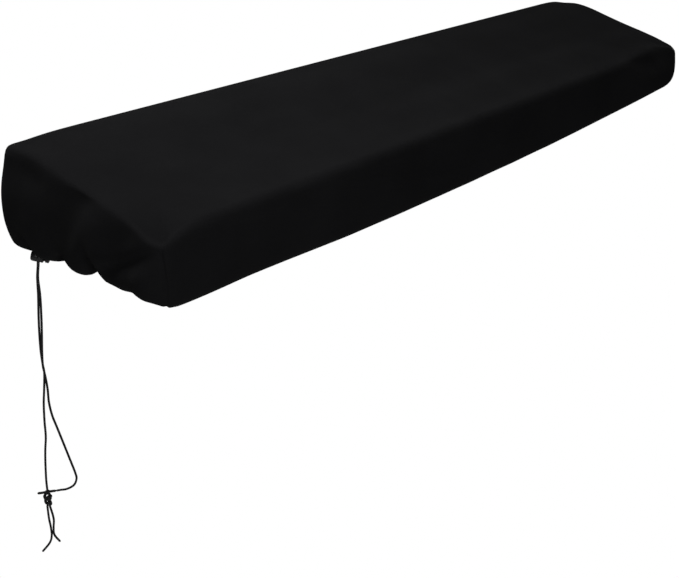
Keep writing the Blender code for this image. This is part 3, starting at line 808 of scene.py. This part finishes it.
def build_lock(middle, plastic):
    """The barrel cord lock: ribbed body with blind bore and slot, and the dished button."""
    level = DEEPER.normalized()
    upright = Matrix((SPREAD.normalized(), level, Vector((0.0, 0.0, 1.0)))).transposed().to_4x4()
    upright.translation = middle
    lying = upright @ Matrix.Rotation(pi / 2 + BARREL_DROOP, 4, "Y")
    half, wide = BARREL_LENGTH / 2, BARREL / 2
    bore = STEM / 2 + GAP
    body_profile = [
        (0.0, half - BORE_DEPTH), (bore, half - BORE_DEPTH), (bore, half - 0.0004), (bore + 0.0004, half),
        (wide - 0.0011, half), (wide - 0.0003, half - 0.0004), (wide, half - 0.0012),
        (wide, half - 0.0022), (wide - 0.0004, half - 0.0025), (wide - 0.0004, half - 0.0031),
        (wide, half - 0.0034), (wide, 0.0002), (wide - 0.00012, 0.0), (wide, -0.0002),
        (wide, -half + 0.0030), (wide - 0.0004, -half + 0.0012), (wide - 0.0014, -half + 0.0003),
        (wide - 0.0030, -half), (0.0, -half),
    ]
    body = add_turned("lock_body", body_profile, lying, plastic, "lock", "cord_lock_body")
    cutter = bpy.data.meshes.new("strand_slot")
    cut = bmesh.new()
    wide_slot, narrow_slot = STRAND_PITCH + CORD + 2 * SLOT_CLEARANCE, CORD + 2 * SLOT_CLEARANCE
    bmesh.ops.create_cube(cut, size=1.0, matrix=Matrix.Diagonal((narrow_slot, wide_slot, 2 * BARREL, 1.0)))
    cut.to_mesh(cutter)
    cut.free()
    slot = bpy.data.objects.new("strand_slot", cutter)
    bpy.context.scene.collection.objects.link(slot)
    slot.matrix_world = upright
    opening = body.modifiers.new("strand_slot", "BOOLEAN")
    opening.operation = "DIFFERENCE"
    opening.object = slot
    apply_modifiers(body)
    bpy.data.objects.remove(slot)
    cap, out, stem = half + BUTTON_OUT, BUTTON / 2, STEM / 2
    button_profile = [
        (0.0, cap + BUTTON_CAP - 0.0007), (out * 0.45, cap + BUTTON_CAP - 0.0006),
        (out * 0.70, cap + BUTTON_CAP - 0.0001), (out - 0.0010, cap + BUTTON_CAP),
        (out - 0.0003, cap + BUTTON_CAP - 0.0003),
        (out, cap + BUTTON_CAP - 0.0010), (out, cap + 0.0022), (out - 0.0003, cap + 0.0020),
        (out - 0.0003, cap + 0.0015), (out, cap + 0.0013), (out, cap + 0.0006),
        (out - 0.0004, cap + 0.0001), (out - 0.0012, cap), (stem, cap),
        (stem, cap - STEM_LENGTH + 0.0006), (stem - 0.0006, cap - STEM_LENGTH),
        (0.0, cap - STEM_LENGTH),
    ]
    button = add_turned("lock_button", button_profile, lying, plastic.copy(), "lock", "cord_lock_button")
    apply_modifiers(button)
    return body, button


def apply_modifiers(piece):
    """The piece's mesh as its modifiers leave it."""
    depsgraph = bpy.context.evaluated_depsgraph_get()
    made = bpy.data.meshes.new_from_object(piece.evaluated_get(depsgraph))
    piece.modifiers.clear()
    piece.data = made


def build_cords(middle, exit_point):
    """Both strands from the hem to the knot, the knot, and the two tails below it."""
    braid = cord_material()
    turn_middle = (KNOT_TURN_ROUTE[1].drop + KNOT_TURN_ROUTE[2].drop) / 2
    over_turn = Point(KNOT_MIDDLE.side, turn_middle - KNOT_TURN / 2 - KNOT_SEAT)
    turn_end = Point(KNOT_TURN_ROUTE[-1].side + GAP, KNOT_TURN_ROUTE[-1].drop)
    routes = {
        "cord_straight": strand_route(middle, exit_point, STRAIGHT_STRAND + [over_turn], -1, ROUTE_STEP),
        "cord_bowed": strand_route(middle, exit_point, BOWED_STRAND + [turn_end], 1, ROUTE_STEP),
        "cord_tail_long": loop_route(middle, LONG_TAIL, ROUTE_STEP),
        "cord_tail_short": loop_route(middle, SHORT_TAIL, ROUTE_STEP),
    }
    stands_for = {
        "cord_straight": "strand_straight", "cord_bowed": "strand_bowed",
        "cord_tail_long": "tail_long", "cord_tail_short": "tail_short",
    }
    for name, route in routes.items():
        add_tube(name, route, CORD, braid.copy(), "cord", stands_for[name])
    turn = loop_route(middle, KNOT_TURN_ROUTE, ROUTE_STEP)
    wrap_one = knot_route(middle, WINDING_START, WINDING_ONE_TURNS)
    wrap_two = knot_route(middle, WINDING_START + pi, WINDING_TWO_TURNS)
    knot = [
        add_tube("knot_turn", turn, CORD + TURN_THICKER, braid.copy(), "cord", "knot"),
        add_tube("knot_wrap_one", wrap_one, CORD + WINDING_THICKER, braid.copy(), "cord"),
        add_tube("knot_wrap_two", wrap_two, CORD + WINDING_THICKER, braid.copy(), "cord"),
    ]
    lock = build_lock(middle, plastic_material())
    for name in ("cord_straight", "cord_bowed"):
        route = routes[name]
    for name in ("cord_tail_long", "cord_tail_short"):
        route = routes[name]


def build_cover(knit):
    """The flat cut as a fine grid, its corner squares out, its corner seams sewn, then draped."""
    columns = stations(TOP_HALF_X, near=0.0032, far=0.0068, reach=0.30)
    rows = stations(TOP_HALF_Y, near=0.0032, far=0.0048, reach=0.06)
    rings = fine_rings()
    across, deep = len(columns) - 1, len(rows) - 1
    mesh = bpy.data.meshes.new("cloth_cover")
    sheet = bmesh.new()
    count_x, count_y = across + 2 * FINE_SIDE, deep + 2 * FINE_SIDE
    bmesh.ops.create_grid(sheet, x_segments=count_x, y_segments=count_y, size=1.0)
    thickness = sheet.verts.layers.deform.verify()
    in_corner = []
    for face in sheet.faces:
        middle = face.calc_center_median()
        if abs(middle.x) * count_x > across and abs(middle.y) * count_y > deep:
            in_corner.append(face)
    bmesh.ops.delete(sheet, geom=in_corner, context="FACES")
    uv = sheet.loops.layers.uv.new("flat_cut")
    for vertex in sheet.verts:
        i = round((vertex.co.x + 1) / 2 * count_x) - FINE_SIDE
        j = round((vertex.co.y + 1) / 2 * count_y) - FINE_SIDE
        past_x, past_y = max(-i, i - across, 0), max(-j, j - deep, 0)
        x, y = columns[min(max(i, 0), across)], rows[min(max(j, 0), deep)]
        ring = rings[max(past_x, past_y)]
        vertex.co = side_place(x, y, ring, past_x > 0) if ring else top_place(x, y)
        run = flat_run(ring)
        flat_x = x + (run if x > 0 else -run) * (past_x > 0)
        flat_y = y + (run if y > 0 else -run) * (past_y > 0)
        for loop in vertex.link_loops:
            loop[uv].uv = (flat_x, flat_y)
        channel = max(0.0, 1 - abs(len(rings) - 4 - max(past_x, past_y)) / 3.5)
        vertex[thickness][0] = (KNIT + (HEM - KNIT) * channel ** 0.5) / HEM
    bmesh.ops.remove_doubles(sheet, verts=sheet.verts, dist=0.0001)
    sheet.to_mesh(mesh)
    sheet.free()
    mesh.shade_smooth()
    cover = add_object("cloth_cover", mesh, knit, "cloth", "cover")
    cover.vertex_groups.new(name="thickness")
    wall = cover.modifiers.new("cloth_thickness", "SOLIDIFY")
    wall.thickness = HEM
    wall.offset = -1.0
    wall.vertex_group = "thickness"
    wall.use_rim = True
    apply_modifiers(cover)


def add_floor():
    """A plain pale floor, far enough down for the cords to hang free."""
    material, tree, surface = new_material("pale_floor")
    set_inputs(surface, Base_Color=(0.42, 0.42, 0.42, 1.0), Roughness=0.9, Specular_IOR_Level=0.0)
    shine = add_node(tree, "ShaderNodeEmission")
    shine.inputs["Strength"].default_value = 1.0
    seen = add_node(tree, "ShaderNodeLightPath")
    both = add_node(tree, "ShaderNodeMixShader")
    tree.links.new(seen.outputs["Is Camera Ray"], both.inputs["Fac"])
    tree.links.new(surface.outputs["BSDF"], both.inputs[1])
    tree.links.new(shine.outputs["Emission"], both.inputs[2])
    tree.links.new(both.outputs["Shader"], tree.nodes["Material Output"].inputs["Surface"])
    mesh = bpy.data.meshes.new("floor")
    plane = bmesh.new()
    bmesh.ops.create_grid(plane, x_segments=8, y_segments=8, size=FLOOR_HALF)
    plane.to_mesh(mesh)
    plane.free()
    mesh.materials.append(material)
    floor = bpy.data.objects.new("floor", mesh)
    floor.location = (0.0, 0.0, FLOOR_HEIGHT)
    bpy.context.scene.collection.objects.link(floor)


def add_light(name, kind, energy, place, aim, **settings):
    data = bpy.data.lights.new(name, kind)
    data.energy = energy
    for key, value in settings.items():
        setattr(data, key, value)
    light = bpy.data.objects.new(name, data)
    light.location = place
    light.rotation_mode = "QUATERNION"
    light.rotation_quaternion = (Vector(aim) - Vector(place)).to_track_quat("-Z", "Y")
    bpy.context.scene.collection.objects.link(light)


def add_studio():
    """Soft light from above and behind, with a weak fill from the front left."""
    world = bpy.data.worlds.new("studio")
    bpy.context.scene.world = world
    world.use_nodes = True
    background = world.node_tree.nodes["Background"]
    background.inputs["Color"].default_value = (1.0, 1.0, 1.0, 1.0)
    background.inputs["Strength"].default_value = 0.04
    add_light("overhead", "SUN", 0.75, (0.3, 2.0, 2.2), (0.0, 0.0, 0.0), angle=radians(50))
    add_light(
        "softbox", "AREA", 11.0, (-0.55, 0.3, 1.2), (-0.55, 0.0, 0.0),
        shape="RECTANGLE", size=0.5, size_y=0.9,
    )
    add_light(
        "fill", "AREA", 17.0, (-1.4, -1.7, 0.6), (-0.6, 0.0, -0.1),
        shape="RECTANGLE", size=0.8, size_y=0.8,
    )
    bpy.context.scene.view_settings.view_transform = "Standard"


add_camera()
exit_point = Vector((EXIT_X, EXIT_Y, EXIT_Z))
build_cords(exit_point - Vector((0.0, 0.0, BARREL / 2 + LOCK_SEAT)), exit_point)
build_cover(knit_material())
add_floor()
add_studio()
